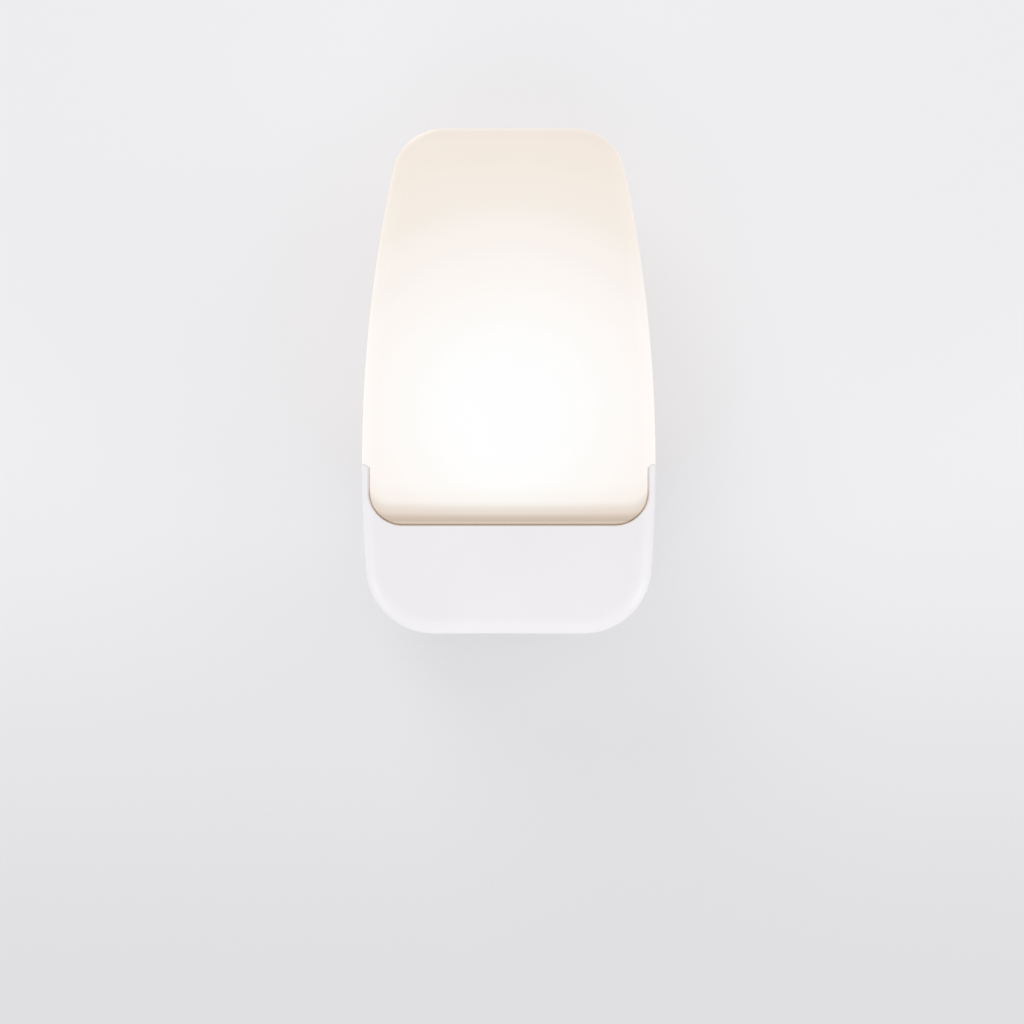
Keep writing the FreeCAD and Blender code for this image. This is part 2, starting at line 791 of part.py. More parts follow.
def filter_capacitor():
    start = board_front + stand_off
    can = rod(filter_r, filter_x, filter_z, start, start + filter_h)
    can = can.makeFillet(0.6, [e for e in can.Edges if e.Closed])
    groove = Part.makeTorus(filter_r + 0.35, 0.6, V(filter_x, -start - 1.8, filter_z), V(0, 1, 0))
    vent = [block(filter_x, start + filter_h, filter_z, 4, 0.4, 0.3),
            block(filter_x, start + filter_h, filter_z, 0.3, 0.4, 4)]
    return fused([cut(can, [groove] + vent)] + radial_leads(filter_x, filter_z, filter_pitch, start + 1))


def rectifier_diodes():
    return [axial_part(diode_x, z, diode_r, diode_length, diode_pitch) for z in diode_rows()]


def solder_joints():
    joints = []
    for x, z, r in lead_holes():
        joint = cone(0.55 * solder_r + 0.2, solder_r, x, z, board_d - solder_h, board_d)
        if z == terminal_z():
            through = block(x, board_d, z, 2 * terminal_half, 4, terminal_t)
        else:
            through = rod(r if r == lead_r else r + 0.08, x, z, 0, 30)
        joints.append(joint.cut(through))
    return joints


def switch_frame():
    half = switch_length / 2
    outer = box(-half, half, switch_d, switch_d + switch_depth, switch_low_z, switch_high_z)
    t = switch_steel
    inner = box(-half + t, half - t, switch_d + t, switch_d + switch_depth - t, switch_low_z + t, 0)
    slot_length = stem_length + switch_travel + 2 * slide_gap
    slot = block(0, knob_d, switch_low_z, slot_length, stem_depth + 2 * slide_gap, 2)
    holes = [inner, slot]
    for x in terminal_places():
        holes.append(block(x, switch_d, terminal_z(), 2 * terminal_half + 0.4, 2, terminal_t + 0.4))
    ear_z = switch_low_z + ear_low + ear_height / 2
    ear_d = switch_d + 0.5
    ear_depth = 2 * (ear_d - board_front)
    ears = [block(side * half, ear_d, ear_z, ear_width, ear_depth, ear_height) for side in (-1, 1)]
    upright = [e for e in outer.Edges if e.BoundBox.ZLength > 4]
    return fused([cut(outer.makeFillet(0.6, upright), holes)] + [cut(ear, [inner]) for ear in ears])


def switch_base():
    half = switch_length / 2 - switch_steel - 0.05
    back = switch_d + switch_steel + 0.05
    front = switch_d + switch_depth - switch_steel - 0.05
    plate = box(-half, half, back, front, switch_high_z - switch_base_t, switch_high_z)
    return plate.makeFillet(0.3, [e for e in plate.Edges if e.BoundBox.ZLength > 1])


def switch_terminals():
    z = terminal_z()
    front = switch_d + switch_depth - 1.2
    back = board_d - lead_tail
    return [block(x, (back + front) / 2, z, 2 * terminal_half, front - back, terminal_t)
            for x in terminal_places()]


def contact_top():
    return terminal_z() - terminal_t / 2 - contact_gap


def switch_contact():
    z = contact_top() - contact_t / 2
    return block(rest_x, knob_d, z, slider_length - 1, slider_depth / 2, contact_t)


def switch_slider():
    low = switch_low_z + switch_steel + slide_gap
    high = contact_top() - contact_t
    body = block(rest_x, knob_d, (low + high) / 2, slider_length, slider_depth, high - low)
    stem = block(rest_x, knob_d, (floor_z + low) / 2, stem_length, stem_depth, low - floor_z)
    return fused([body, stem])


def switch_knob():
    low = floor_z + slide_gap
    plate = block(rest_x, knob_d, low + knob_plate_t / 2, knob_plate_length, knob_plate_depth, knob_plate_t)
    tip = bottom_z - knob_proud
    thumb = block(rest_x, knob_d, (tip + low) / 2, knob_length, knob_depth, low - tip)
    below = [e for e in thumb.Edges if abs(e.CenterOfMass.z - tip) < 0.01]
    thumb = thumb.makeFillet(thumb_round, below)
    grooves = [block(rest_x + i * groove_step, knob_d, tip, groove_width, 2 * knob_depth, 2 * groove_depth)
               for i in (-1, 0, 1)]
    reach = 5.0
    socket = block(rest_x, knob_d, floor_z - socket_depth + reach, stem_length + 0.1, stem_depth + 0.1,
                   2 * reach)
    return cut(fused([plate, cut(thumb, grooves)]), [socket])


def mains_lead(x, feed):
    """From the eye in a blade's tail to the main board."""
    hole_x, hole_z = feed
    side = math.copysign(1, x)
    eye = tail_eye_d()
    points = [
        (x - side * 1.2, eye, 0),
        (x + side * 1.0, eye, 0),
        (x + side * 3.0, eye - 0.1, -1.0),
        (0.5 * (x + hole_x) + side * 2.6, eye + 0.3, 0.6 * hole_z),
        (hole_x + side * 0.2, board_d - solder_h - 0.9, hole_z + 0.2),
        (hole_x, board_d - solder_h, hole_z),
        (hole_x, board_d + 0.3 * board_t, hole_z),
        (hole_x, board_front + 0.2, hole_z),
    ]
    return pipe(points, mains_wire_r)


def led_lead(feed_x, spot):
    """From the light source's board down through the tray to the main board."""
    x, y = spot
    seat = seat_slope()
    top = seat.multVec(V(x, y, led_board_t + 0.3))
    middle = seat.multVec(V(x, y, 0))
    under = seat.multVec(V(x, y, -seat_wall - 0.2))
    run_d = seat_back_d + led_wire_r + 0.8
    points = [
        (x, -top.y, top.z),
        (x, -middle.y, middle.z),
        (x, -under.y, under.z),
        (0.6 * x + 0.4 * feed_x, run_d, 0.5 * (under.z + tray_z)),
        (feed_x, run_d, tray_z),
        (feed_x, run_d - 0.25, led_feed_z + 1.2),
        (feed_x, board_front + 0.5, led_feed_z + 0.1),
        (feed_x, board_front - 0.2, led_feed_z),
        (feed_x, board_d - lead_tail, led_feed_z),
    ]
    return pipe(points, led_wire_r)


def case_screws():
    return [screw(x, z, case_seat_d, -1, case_head_r, case_head_h, case_shank_r, case_screw_length)
            for x, z in case_screw_places()]


os.makedirs("parts", exist_ok=True)
line_blade, neutral_blade = blades()
led_spots = led_wire_spots()
nodes = {
    "rear_cover": rear_cover,
    "front_cover": front_cover,
    "lens": lens,
    "reflector_tray": reflector_tray,
    "led_board": led_board,
    "led_packages": led_packages,
    "led_phosphors": led_phosphors,
    "led_board_screws": led_board_screws,
    "blade_line": lambda: blade(*line_blade),
    "blade_neutral": lambda: blade(*neutral_blade),
    "blade_clamp": blade_clamp,
    "blade_clamp_screws": blade_clamp_screws,
    "main_board": main_board,
    "main_board_screws": main_board_screws,
    "film_capacitor": film_capacitor,
    "filter_capacitor": filter_capacitor,
    "rectifier_diodes": rectifier_diodes,
    "fusible_resistor": lambda: axial_part(fuse_x, fuse_z, fuse_r, fuse_length, fuse_pitch),
    "bleed_resistor": lambda: axial_part(bleed_x, bleed_z, bleed_r, bleed_length, bleed_pitch),
    "zener_diode": lambda: axial_part(zener_x, zener_z, diode_r, diode_length, zener_pitch),
    "switch_frame": switch_frame,
    "switch_base": switch_base,
    "switch_terminals": switch_terminals,
    "switch_contact": switch_contact,
    "switch_slider": switch_slider,
    "switch_knob": switch_knob,
    "lead_line": lambda: mains_lead(line_blade[0], mains_feed["line"]),
    "lead_neutral": lambda: mains_lead(neutral_blade[0], mains_feed["neutral"]),
    "led_lead_positive": lambda: led_lead(led_feed_x[0], led_spots[0]),
    "led_lead_negative": lambda: led_lead(led_feed_x[1], led_spots[1]),
    "case_screws": case_screws,
    "solder_joints": solder_joints,
}
for name, make in nodes.items():
    made = make()
    solids = made if isinstance(made, list) else [made]
    shape = Part.makeCompound(solids) if len(solids) > 1 else solids[0]
    print(name, "solids", len(shape.Solids), "valid", shape.isValid(), "volume", round(shape.Volume, 1))
    shape.exportStep("parts/" + name + ".step")
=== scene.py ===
"""Plug in night light: finishes, switch marks, stage, lamps and camera around the CAD frame.

Metres, +Z up. The wall is behind the light at +Y, and the room lies along -Y.
"""
import math
from collections import namedtuple

import bmesh
import bpy
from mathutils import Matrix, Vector


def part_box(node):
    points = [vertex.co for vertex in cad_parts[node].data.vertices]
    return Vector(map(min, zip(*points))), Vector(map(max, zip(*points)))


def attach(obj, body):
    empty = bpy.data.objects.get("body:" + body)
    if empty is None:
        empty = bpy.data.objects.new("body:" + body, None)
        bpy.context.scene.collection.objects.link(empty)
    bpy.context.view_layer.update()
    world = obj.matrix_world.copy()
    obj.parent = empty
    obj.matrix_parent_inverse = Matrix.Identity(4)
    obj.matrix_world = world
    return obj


MM = 0.001

# Camera, level and square to the wall. FRAME_WIDTH is how much it sees across at CAMERA_DISTANCE.
CAMERA_DISTANCE = 1.1
CAMERA_X = 0.8 * MM
CAMERA_Z = 12.8 * MM
CLIP_START = 0.01
SENSOR_MM = 36.0
FRAME_WIDTH = 261.2 * MM

# Stage: two square planes. SHADE_SPAN is the height over which the wall goes from low to high, a painted
# shade that is darker towards the bottom.
WALL_Y = 19.0 * MM
FLOOR_Z = -160.0 * MM
STAGE_SIZE = 6.0
SHADE_SPAN = (-120.0 * MM, 50.0 * MM)
# Wall colours low and high: painted shade, darker low on the wall
WALL_LOW_SHADED = (219, 219, 221)
WALL_HIGH = (236, 236, 238)
FLOOR_COLOUR = (229, 229, 230)
STAGE_ROUGHNESS = 0.9
STAGE_SPECULAR = 0.1

# World: the light it gives, and what the camera and reflections see of it
WORLD_LIGHT = (0.99, 0.99, 1.0, 1.0)
WORLD_STRENGTH = 0.82
BACKDROP = (241, 241, 243)

# Disk lamps, all facing one point: place, diameter and watts
LAMP_TARGET = (0.0, 0.0, 0.04)
LAMPS = {
    "key": ((-0.7, -1.4, 1.3), 1.2, 4.1),
    "fill": ((1.3, -1.1, 0.4), 1.4, 2.3),
    "low": ((-0.2, -1.2, -0.9), 1.4, 1.9),
    "left": ((-1.6, -0.3, -1.0), 1.0, 8.5),
    "right": ((1.6, -0.3, -1.0), 1.0, 8.5),
    "back": ((-1.2, 2.0, 2.6), 1.6, 15.0),
}

# Marks beside the switch: distance from the light's middle, size, line width, and how far each
# stands out of the underside and reaches into it. MARK_EASE is the width of their bevels.
MARK_X = 8.2 * MM
MARK_SIZE = 2.6 * MM
MARK_LINE = 0.45 * MM
MARK_PROUD = 0.15 * MM
MARK_SUNK = 0.2 * MM
MARK_EASE = 0.3 * MARK_PROUD
RING_POINTS = 40
BAR_END_POINTS = 10

# Noise textures mostly stay between these two values
NOISE_SPAN = (0.3, 0.7)

# Noise scales of the drift in colour, 0 for none, and in roughness, then the relief: scale, detail,
# strength and depth
Grain = namedtuple("Grain", "colour roughness scale detail strength depth")
LENS_GRAIN = Grain(30, 700, 6000, 2, 0.05, 0.01 * MM)
HOUSING_GRAIN = Grain(40, 900, 5200, 2, 0.10, 0.02 * MM)
TRAY_GRAIN = Grain(60, 800, 4000, 2, 0.08, 0.02 * MM)
SMALL_PART_GRAIN = Grain(120, 360, 2500, 3, 0.15, 0.03 * MM)
LACQUER_GRAIN = Grain(0, 900, 1800, 2, 0.08, 0.03 * MM)

# Lens, unlit: linear colours and roughness
LENS_BASE = (0.42, 0.41, 0.40, 1.0)
LENS_DEEP = (0.41, 0.40, 0.385, 1.0)
LENS_ROUGHNESS = (0.40, 0.50)
LENS_SPECULAR = 0.35

# Its painted glow, which stands in for the LED's light through the lens, by distance from a bright spot: an
# oval, since each axis counts by its share in GLOW_SHAPE
GLOW_CENTRE = (0.0, -40.0 * MM, 38.0 * MM)
GLOW_SHAPE = (0.6, 0.8, 0.62)
GLOW_REACH = 60.0 * MM
GLOW_STOPS = [
    (0.0, (0.553, 0.560, 0.572, 1.0)),
    (0.12, (0.553, 0.561, 0.573, 1.0)),
    (0.18, (0.553, 0.558, 0.557, 1.0)),
    (0.27, (0.541, 0.529, 0.515, 1.0)),
    (0.36, (0.538, 0.502, 0.483, 1.0)),
    (0.45, (0.510, 0.465, 0.431, 1.0)),
    (0.55, (0.482, 0.425, 0.361, 1.0)),
    (0.68, (0.467, 0.395, 0.324, 1.0)),
    (1.0, (0.425, 0.353, 0.282, 1.0)),
]

# Painted shade: a darker band along the lens's lower edge follows the U of the seam, and near the seam lie
# a thin painted highlight and a thin dark line. BAND_SIDE_DROP is how much slower it fades at the sides.
# Its colours multiply the glow (the first table below) and the base (the second).
SEAM_Z = 9.5 * MM
SEAM_HALF = 34.35 * MM
BAND_R = 5.0 * MM
BAND_HEIGHT = 10.0 * MM
BAND_SIDE_DROP = 0.1
SEAM_SHADE_STOPS = [
    (0.0, (0.40, 0.31, 0.22, 1.0)),
    (0.08, (0.46, 0.37, 0.27, 1.0)),
    (0.12, (0.33, 0.24, 0.15, 1.0)),
    (0.17, (0.43, 0.33, 0.23, 1.0)),
    (0.31, (0.68, 0.58, 0.47, 1.0)),
    (0.61, (0.96, 0.94, 0.90, 1.0)),
    (1.0, (1.0, 1.0, 1.0, 1.0)),
]
SEAM_SHADE_TINT = [
    (0.0, (0.96, 0.86, 0.75, 1.0)),
    (0.17, (0.93, 0.86, 0.80, 1.0)),
    (0.38, (1.0, 0.985, 0.97, 1.0)),
    (1.0, (1.0, 1.0, 1.0, 1.0)),
]

# Plain finishes: base and deeper colour as a display shows them, roughness from and to, and grain
# and specular level where they aren't a small part's
PLAIN = {
    "housing_plastic": ((234, 232, 233), (231, 229, 230), (0.36, 0.48), HOUSING_GRAIN, 0.4),
    "tray_plastic": ((240, 239, 236), (232, 231, 227), (0.30, 0.42), TRAY_GRAIN),
    "phenolic": ((86, 52, 34), (66, 40, 27), (0.35, 0.50)),
    "nylon_black": ((34, 34, 36), (26, 26, 28), (0.35, 0.50)),
    "white_mask": ((238, 240, 238), (228, 231, 228), (0.30, 0.40)),
    "led_white": ((240, 240, 236), (232, 232, 226), (0.25, 0.35)),
    "film_yellow": ((226, 186, 48), (214, 170, 36), (0.22, 0.34)),
    "sleeve_dark": ((40, 44, 60), (32, 35, 48), (0.25, 0.36)),
    "wire_black": ((30, 30, 32), (22, 22, 24), (0.30, 0.42)),
    "wire_white": ((232, 232, 228), (222, 222, 217), (0.30, 0.42)),
    "wire_red": ((176, 34, 28), (158, 26, 22), (0.30, 0.42)),
}

# Metals: bright and dull colour, linear; the axis their fine lines run along, 0 to 2; roughness from
# and to; and the scale of the lines
METALS = {
    "blade_nickel": ((0.78, 0.76, 0.72, 1.0), (0.66, 0.63, 0.57, 1.0), 1, (0.16, 0.34), 900),
    "screw_zinc": ((0.70, 0.71, 0.73, 1.0), (0.55, 0.55, 0.56, 1.0), 0, (0.25, 0.42), 900),
    "switch_tin": ((0.76, 0.76, 0.75, 1.0), (0.62, 0.61, 0.58, 1.0), 0, (0.20, 0.36), 900),
    "contact_silver": ((0.86, 0.83, 0.74, 1.0), (0.74, 0.66, 0.48, 1.0), 0, (0.20, 0.34), 900),
    "solder": ((0.80, 0.81, 0.82, 1.0), (0.68, 0.69, 0.71, 1.0), 2, (0.15, 0.30), 600),
}
# The noise scale along the lines as a share of the scale across them; the relief's scale as a multiple of
# the lines', with its strength and depth; and the scale of the dull patches, with the span they grow over
LINE_STRETCH = 0.04
LINE_RELIEF_SCALE = 2.2
LINE_RELIEF = (0.12, 0.02 * MM)
PATCH_SCALE = 260
PATCH_SPAN = (0.42, 0.66)

# Banded bodies: piece, body colour, bands, and roughness from and to. A band is its middle along X from
# the middle of the piece, its width, both in mm, and its colour. No piece is longer than twice BANDED_HALF.
BANDED_HALF = 20.0
CATHODE = [(-1.7, 0.8, (205, 205, 205))]
FUSIBLE_BANDS = [
    (-3.0, 0.8, (200, 96, 30)),
    (-1.4, 0.8, (30, 30, 30)),
    (0.2, 0.8, (160, 40, 30)),
    (3.0, 0.8, (180, 140, 50)),
]
BLEED_BANDS = [
    (-2.0, 0.5, (60, 110, 60)),
    (-0.9, 0.5, (60, 80, 160)),
    (0.2, 0.5, (200, 170, 40)),
    (2.0, 0.5, (180, 140, 50)),
]
BANDED = {
    "epoxy_black": ("rectifier_diodes", (38, 38, 41), CATHODE, (0.30, 0.45)),
    "zener_black": ("zener_diode", (38, 38, 41), CATHODE, (0.30, 0.45)),
    "fusible_lacquer": ("fusible_resistor", (150, 182, 190), FUSIBLE_BANDS, (0.30, 0.42)),
    "bleed_lacquer": ("bleed_resistor", (196, 170, 120), BLEED_BANDS, (0.30, 0.42)),
}

# Circuit board: colours as a display shows them, fibres along X with their relief's strength and
# depth, and roughness from and to
BOARD_COLOURS = ((196, 160, 98), (168, 128, 70))
FIBRE_SCALE = 700
FIBRE_DETAIL = 5
FIBRE_STRETCH = (0.15, 1.0, 1.0)
FIBRE_RELIEF = (0.12, 0.03 * MM)
BOARD_ROUGHNESS_SCALE = 500
BOARD_ROUGHNESS = (0.4, 0.6)

# Phosphor in the LEDs: colours as a display shows them, and linear colours of its light
PHOSPHOR_COLOURS = ((250, 226, 120), (240, 205, 80))
PHOSPHOR_LIGHT = ((1.0, 0.88, 0.62, 1.0), (1.0, 0.83, 0.52, 1.0))
PHOSPHOR_STRENGTH = 2.0
PHOSPHOR_ROUGHNESS = 0.3
PHOSPHOR_GRAINS = 4000

# Which pieces wear each finish
WORN_BY = {
    "housing_plastic": "rear_cover front_cover switch_knob",
    "lens_plastic": "lens",
    "tray_plastic": "reflector_tray",
    "blade_nickel": "blade_line blade_neutral",
    "screw_zinc": "case_screws main_board_screws blade_clamp_screws led_board_screws",
    "switch_tin": "switch_frame",
    "contact_silver": "switch_terminals switch_contact",
    "solder": "solder_joints",
    "phenolic": "blade_clamp switch_base",
    "nylon_black": "switch_slider",
    "circuit_board": "main_board",
    "white_mask": "led_board",
    "led_white": "led_packages",
    "phosphor": "led_phosphors",
    "film_yellow": "film_capacitor",
    "sleeve_dark": "filter_capacitor",
    "epoxy_black": "rectifier_diodes",
    "zener_black": "zener_diode",
    "fusible_lacquer": "fusible_resistor",
    "bleed_lacquer": "bleed_resistor",
    "wire_black": "lead_line led_lead_negative",
    "wire_white": "lead_neutral",
    "wire_red": "led_lead_positive",
}


def shown(colour):
    """A colour as a display shows it, 0 to 255, in the scene's linear units."""
    def linear(v):
        v = v / 255
        return v / 12.92 if v <= 0.04045 else ((v + 0.055) / 1.055) ** 2.4
    return tuple(linear(v) for v in colour) + (1.0,)


class Finish:
    """A Principled material and the nodes that feed it."""

    def __init__(self, name):
        self.material = bpy.data.materials.new(name)
        self.material.use_nodes = True
        self.nodes = self.material.node_tree.nodes
        self.links = self.material.node_tree.links
        self.shader = self.nodes["Principled BSDF"]
        self.place = self.nodes.new("ShaderNodeTexCoord").outputs["Object"]

    def set(self, **values):
        """Fix inputs of the shader; an underscore stands for a space in their names."""
        for key, value in values.items():
            self.shader.inputs[key.replace("_", " ")].default_value = value
        return self

    def feed(self, socket, output):
        self.links.new(output, self.shader.inputs[socket])

    def put(self, value, socket):
        """Link an output to a socket, or set the socket to a fixed value."""
        if isinstance(value, bpy.types.NodeSocket):
            self.links.new(value, socket)
        else:
            socket.default_value = value

    def axis(self, name):
        node = self.nodes.new("ShaderNodeSeparateXYZ")
        self.links.new(self.place, node.inputs["Vector"])
        return node.outputs[name]

    def calc(self, operation, *values):
        node = self.nodes.new("ShaderNodeMath")
        node.operation = operation
        for value, socket in zip(values, node.inputs):
            self.put(value, socket)
        return node.outputs["Value"]

    def noise(self, scale, detail=4.0, stretch=(1.0, 1.0, 1.0)):
        mapping = self.nodes.new("ShaderNodeMapping")
        mapping.inputs["Scale"].default_value = stretch
        self.links.new(self.place, mapping.inputs["Vector"])
        node = self.nodes.new("ShaderNodeTexNoise")
        node.inputs["Scale"].default_value = scale
        node.inputs["Detail"].default_value = detail
        self.links.new(mapping.outputs["Vector"], node.inputs["Vector"])
        return node.outputs["Fac"]

    def spread(self, value, to=(0.0, 1.0), span=NOISE_SPAN):
        """Map the span of a value to the two ends in to, and hold it there beyond them."""
        node = self.nodes.new("ShaderNodeMapRange")
        node.inputs["From Min"].default_value, node.inputs["From Max"].default_value = span
        node.inputs["To Min"].default_value, node.inputs["To Max"].default_value = to
        self.links.new(value, node.inputs["Value"])
        return node.outputs["Result"]

    def ramp(self, factor, stops, interpolation="EASE"):
        node = self.nodes.new("ShaderNodeValToRGB")
        node.color_ramp.interpolation = interpolation
        elements = node.color_ramp.elements
        while len(elements) < len(stops):
            elements.new(0.5)
        for element, (position, colour) in zip(elements, stops):
            element.position = position
            element.color = colour
        self.links.new(factor, node.inputs["Fac"])
        return node.outputs["Color"]

    def mix(self, factor, a, b, blend="MIX"):
        node = self.nodes.new("ShaderNodeMix")
        node.data_type = "RGBA"
        node.blend_type = blend
        self.put(factor, node.inputs["Factor"])
        self.put(a, node.inputs["A"])
        self.put(b, node.inputs["B"])
        return node.outputs["Result"]

    def bump(self, height, strength, distance):
        node = self.nodes.new("ShaderNodeBump")
        node.inputs["Strength"].default_value = strength
        node.inputs["Distance"].default_value = distance
        self.links.new(height, node.inputs["Height"])
        self.feed("Normal", node.outputs["Normal"])

    def surface(self, grain, roughness):
        """Roughness that drifts between two values, and fine relief."""
        self.feed("Roughness", self.spread(self.noise(grain.roughness), roughness))
        self.bump(self.noise(grain.scale, grain.detail), grain.strength, grain.depth)


def plain(name, base, deep, roughness, grain=SMALL_PART_GRAIN, specular=0.5):
    """One colour that drifts a little over the surface."""
    finish = Finish(name).set(Specular_IOR_Level=specular)
    drift = finish.spread(finish.noise(grain.colour))
    finish.feed("Base Color", finish.mix(drift, shown(base), shown(deep)))
    finish.surface(grain, roughness)
    return finish.material


def brushed(name, bright, dull, along, roughness, scale):
    """Metal with fine lines along one axis and dulled patches."""
    finish = Finish(name).set(Metallic=1.0)
    stretch = tuple(LINE_STRETCH if axis == along else 1.0 for axis in range(3))
    patches = finish.spread(finish.noise(PATCH_SCALE), span=PATCH_SPAN)
    finish.feed("Base Color", finish.mix(patches, bright, dull))
    lines = finish.noise(scale, detail=3, stretch=stretch)
    finish.feed("Roughness", finish.spread(lines, roughness))
    scratches = finish.noise(LINE_RELIEF_SCALE * scale, detail=2, stretch=stretch)
    finish.bump(scratches, *LINE_RELIEF)
    return finish.material


def banded(name, piece, body, bands, roughness):
    """A lacquered body with colour bands across it."""
    finish = Finish(name)
    stops = [(0.0, shown(body))]
    for place, width, colour in bands:
        for edge, shade in ((place - width / 2, colour), (place + width / 2, body)):
            stops.append(((edge + BANDED_HALF) / (2 * BANDED_HALF), shown(shade)))
    low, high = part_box(piece)
    centre = (low[0] + high[0]) / 2
    span = (centre - BANDED_HALF * MM, centre + BANDED_HALF * MM)
    along = finish.spread(finish.axis("X"), span=span)
    finish.feed("Base Color", finish.ramp(along, stops, "CONSTANT"))
    finish.surface(LACQUER_GRAIN, roughness)
    return finish.material


def circuit_board():
    finish = Finish("circuit_board")
    fibres = finish.noise(FIBRE_SCALE, FIBRE_DETAIL, FIBRE_STRETCH)
    light, dark = (shown(colour) for colour in BOARD_COLOURS)
    finish.feed("Base Color", finish.mix(finish.spread(fibres), light, dark))
    finish.feed("Roughness", finish.spread(finish.noise(BOARD_ROUGHNESS_SCALE), BOARD_ROUGHNESS))
    finish.bump(fibres, *FIBRE_RELIEF)
    return finish.material


def phosphor():
    finish = Finish("phosphor")
    finish.set(Emission_Strength=PHOSPHOR_STRENGTH, Roughness=PHOSPHOR_ROUGHNESS)
    grains = finish.spread(finish.noise(PHOSPHOR_GRAINS))
    light, dark = (shown(colour) for colour in PHOSPHOR_COLOURS)
    finish.feed("Base Color", finish.mix(grains, light, dark))
    finish.feed("Emission Color", finish.mix(grains, *PHOSPHOR_LIGHT))
    return finish.material


def lens_plastic():
    """Milky plastic with a painted glow, brightest at GLOW_CENTRE, and painted shade along the seam."""
    finish = Finish("lens_plastic").set(Specular_IOR_Level=LENS_SPECULAR, Emission_Strength=1.0)
    height = above_seam(finish)
    drift = finish.mix(finish.spread(finish.noise(LENS_GRAIN.colour)), LENS_BASE, LENS_DEEP)
    # Painted shade along the seam darkens and warms the base colour
    base_shade = finish.ramp(height, SEAM_SHADE_TINT)
    finish.feed("Base Color", finish.mix(1.0, drift, base_shade, "MULTIPLY"))
    finish.surface(LENS_GRAIN, LENS_ROUGHNESS)
    # Painted glow: emission set by position stands in for the LED's light through the lens
    glow = finish.ramp(glow_reach(finish), GLOW_STOPS)
    # Painted shade along the seam, with a thin painted highlight and a thin dark line, multiplies the glow
    band = finish.ramp(height, SEAM_SHADE_STOPS)
    finish.feed("Emission Color", finish.mix(1.0, glow, band, "MULTIPLY"))
    return finish.material


def glow_reach(finish):
    """Distance from the bright spot, from 0 to 1, where each axis counts by its share."""
    away = finish.nodes.new("ShaderNodeVectorMath")
    away.operation = "MULTIPLY_ADD"
    away.inputs[1].default_value = GLOW_SHAPE
    away.inputs[2].default_value = tuple(-c * k for c, k in zip(GLOW_CENTRE, GLOW_SHAPE))
    finish.links.new(finish.place, away.inputs[0])
    length = finish.nodes.new("ShaderNodeVectorMath")
    length.operation = "LENGTH"
    finish.links.new(away.outputs["Vector"], length.inputs[0])
    return finish.spread(length.outputs["Value"], span=(0.0, GLOW_REACH))


def above_seam(finish):
    """Height above the U of the seam, round its corners too, from 0 to 1 over the band of painted shade."""
    calc = finish.calc
    x = finish.axis("X")
    past_level = calc("SUBTRACT", calc("ABSOLUTE", x), SEAM_HALF - BAND_R)
    turn = calc("DIVIDE", calc("MAXIMUM", past_level, 0.0), BAND_R)
    left = calc("MAXIMUM", calc("SUBTRACT", 1.0, calc("MULTIPLY", turn, turn)), 0.0)
    rise = calc("MULTIPLY", calc("SUBTRACT", 1.0, calc("SQRT", left)), BAND_R)
    height = calc("SUBTRACT", calc("SUBTRACT", finish.axis("Z"), SEAM_Z), rise)
    sideways = calc("DIVIDE", x, SEAM_HALF)
    drop = calc("MULTIPLY", calc("MULTIPLY", sideways, sideways), BAND_SIDE_DROP)
    height = calc("MULTIPLY", height, calc("SUBTRACT", 1.0, drop))
    return finish.spread(height, span=(0.0, BAND_HEIGHT))


def make_finishes():
    made = {
        "lens_plastic": lens_plastic(),
        "circuit_board": circuit_board(),
        "phosphor": phosphor(),
    }
    for make, table in ((plain, PLAIN), (brushed, METALS), (banded, BANDED)):
        for name, look in table.items():
            made[name] = make(name, *look)
    return made


def dress(nodes, finishes):
    for name, pieces in WORN_BY.items():
        for piece in pieces.split():
            materials = nodes[piece].data.materials
            materials.clear()
            materials.append(finishes[name])


def circle(r):
    turns = [math.tau * i / RING_POINTS for i in range(RING_POINTS)]
    return [(r * math.cos(angle), r * math.sin(angle)) for angle in turns]


def bar(width, length):
    """Outline of a bar with round ends, along Y."""
    r = width / 2
    reach = length / 2 - r
    points = []
    for end, start in ((1, 0.0), (-1, math.pi)):
        for i in range(BAR_END_POINTS + 1):
            angle = start + math.pi * i / BAR_END_POINTS
            points.append((r * math.cos(angle), end * reach + r * math.sin(angle)))
    return points


def mark_mesh(name, rings, x, y, base):
    """A low block on the underside from one outline, or from an outline and the hole inside it."""
    points = []
    for z in (base, base - MARK_SUNK - MARK_PROUD):
        for ring in rings:
            points += [(x + px, y + py, z) for px, py in ring]
    n = len(rings[0])
    step = n * len(rings)
    faces = []
    for r in range(len(rings)):
        for i in range(n):
            a = r * n + i
            b = r * n + (i + 1) % n
            side = (a, b, b + step, a + step)
            faces.append(side if r == 0 else side[::-1])
    for first in (0, step):
        if len(rings) == 2:
            caps = []
            for i in range(n):
                a = first + i
                b = first + (i + 1) % n
                caps.append((a, b, b + n, a + n))
        else:
            caps = [tuple(first + i for i in range(n))]
        faces += [cap[::-1] if first == 0 else cap for cap in caps]
    mesh = bpy.data.meshes.new(name)
    mesh.from_pydata(points, [], faces)
    form = bmesh.new()
    form.from_mesh(mesh)
    bmesh.ops.recalc_face_normals(form, faces=form.faces)
    form.to_mesh(mesh)
    form.free()
    return mesh


def raised_mark(name, rings, x, material):
    """A moulded mark beside the switch, level with the middle of its knob."""
    knob_low, knob_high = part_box("switch_knob")
    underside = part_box("front_cover")[0][2]
    mesh = mark_mesh(name, rings, x, (knob_low[1] + knob_high[1]) / 2, underside + MARK_SUNK)
    mesh.materials.append(material)
    mark = bpy.data.objects.new(name, mesh)
    bpy.context.collection.objects.link(mark)
    edge = mark.modifiers.new("eased", "BEVEL")
    edge.width = MARK_EASE
    edge.segments = 2
    edge.limit_method = "ANGLE"
    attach(mark, "light")


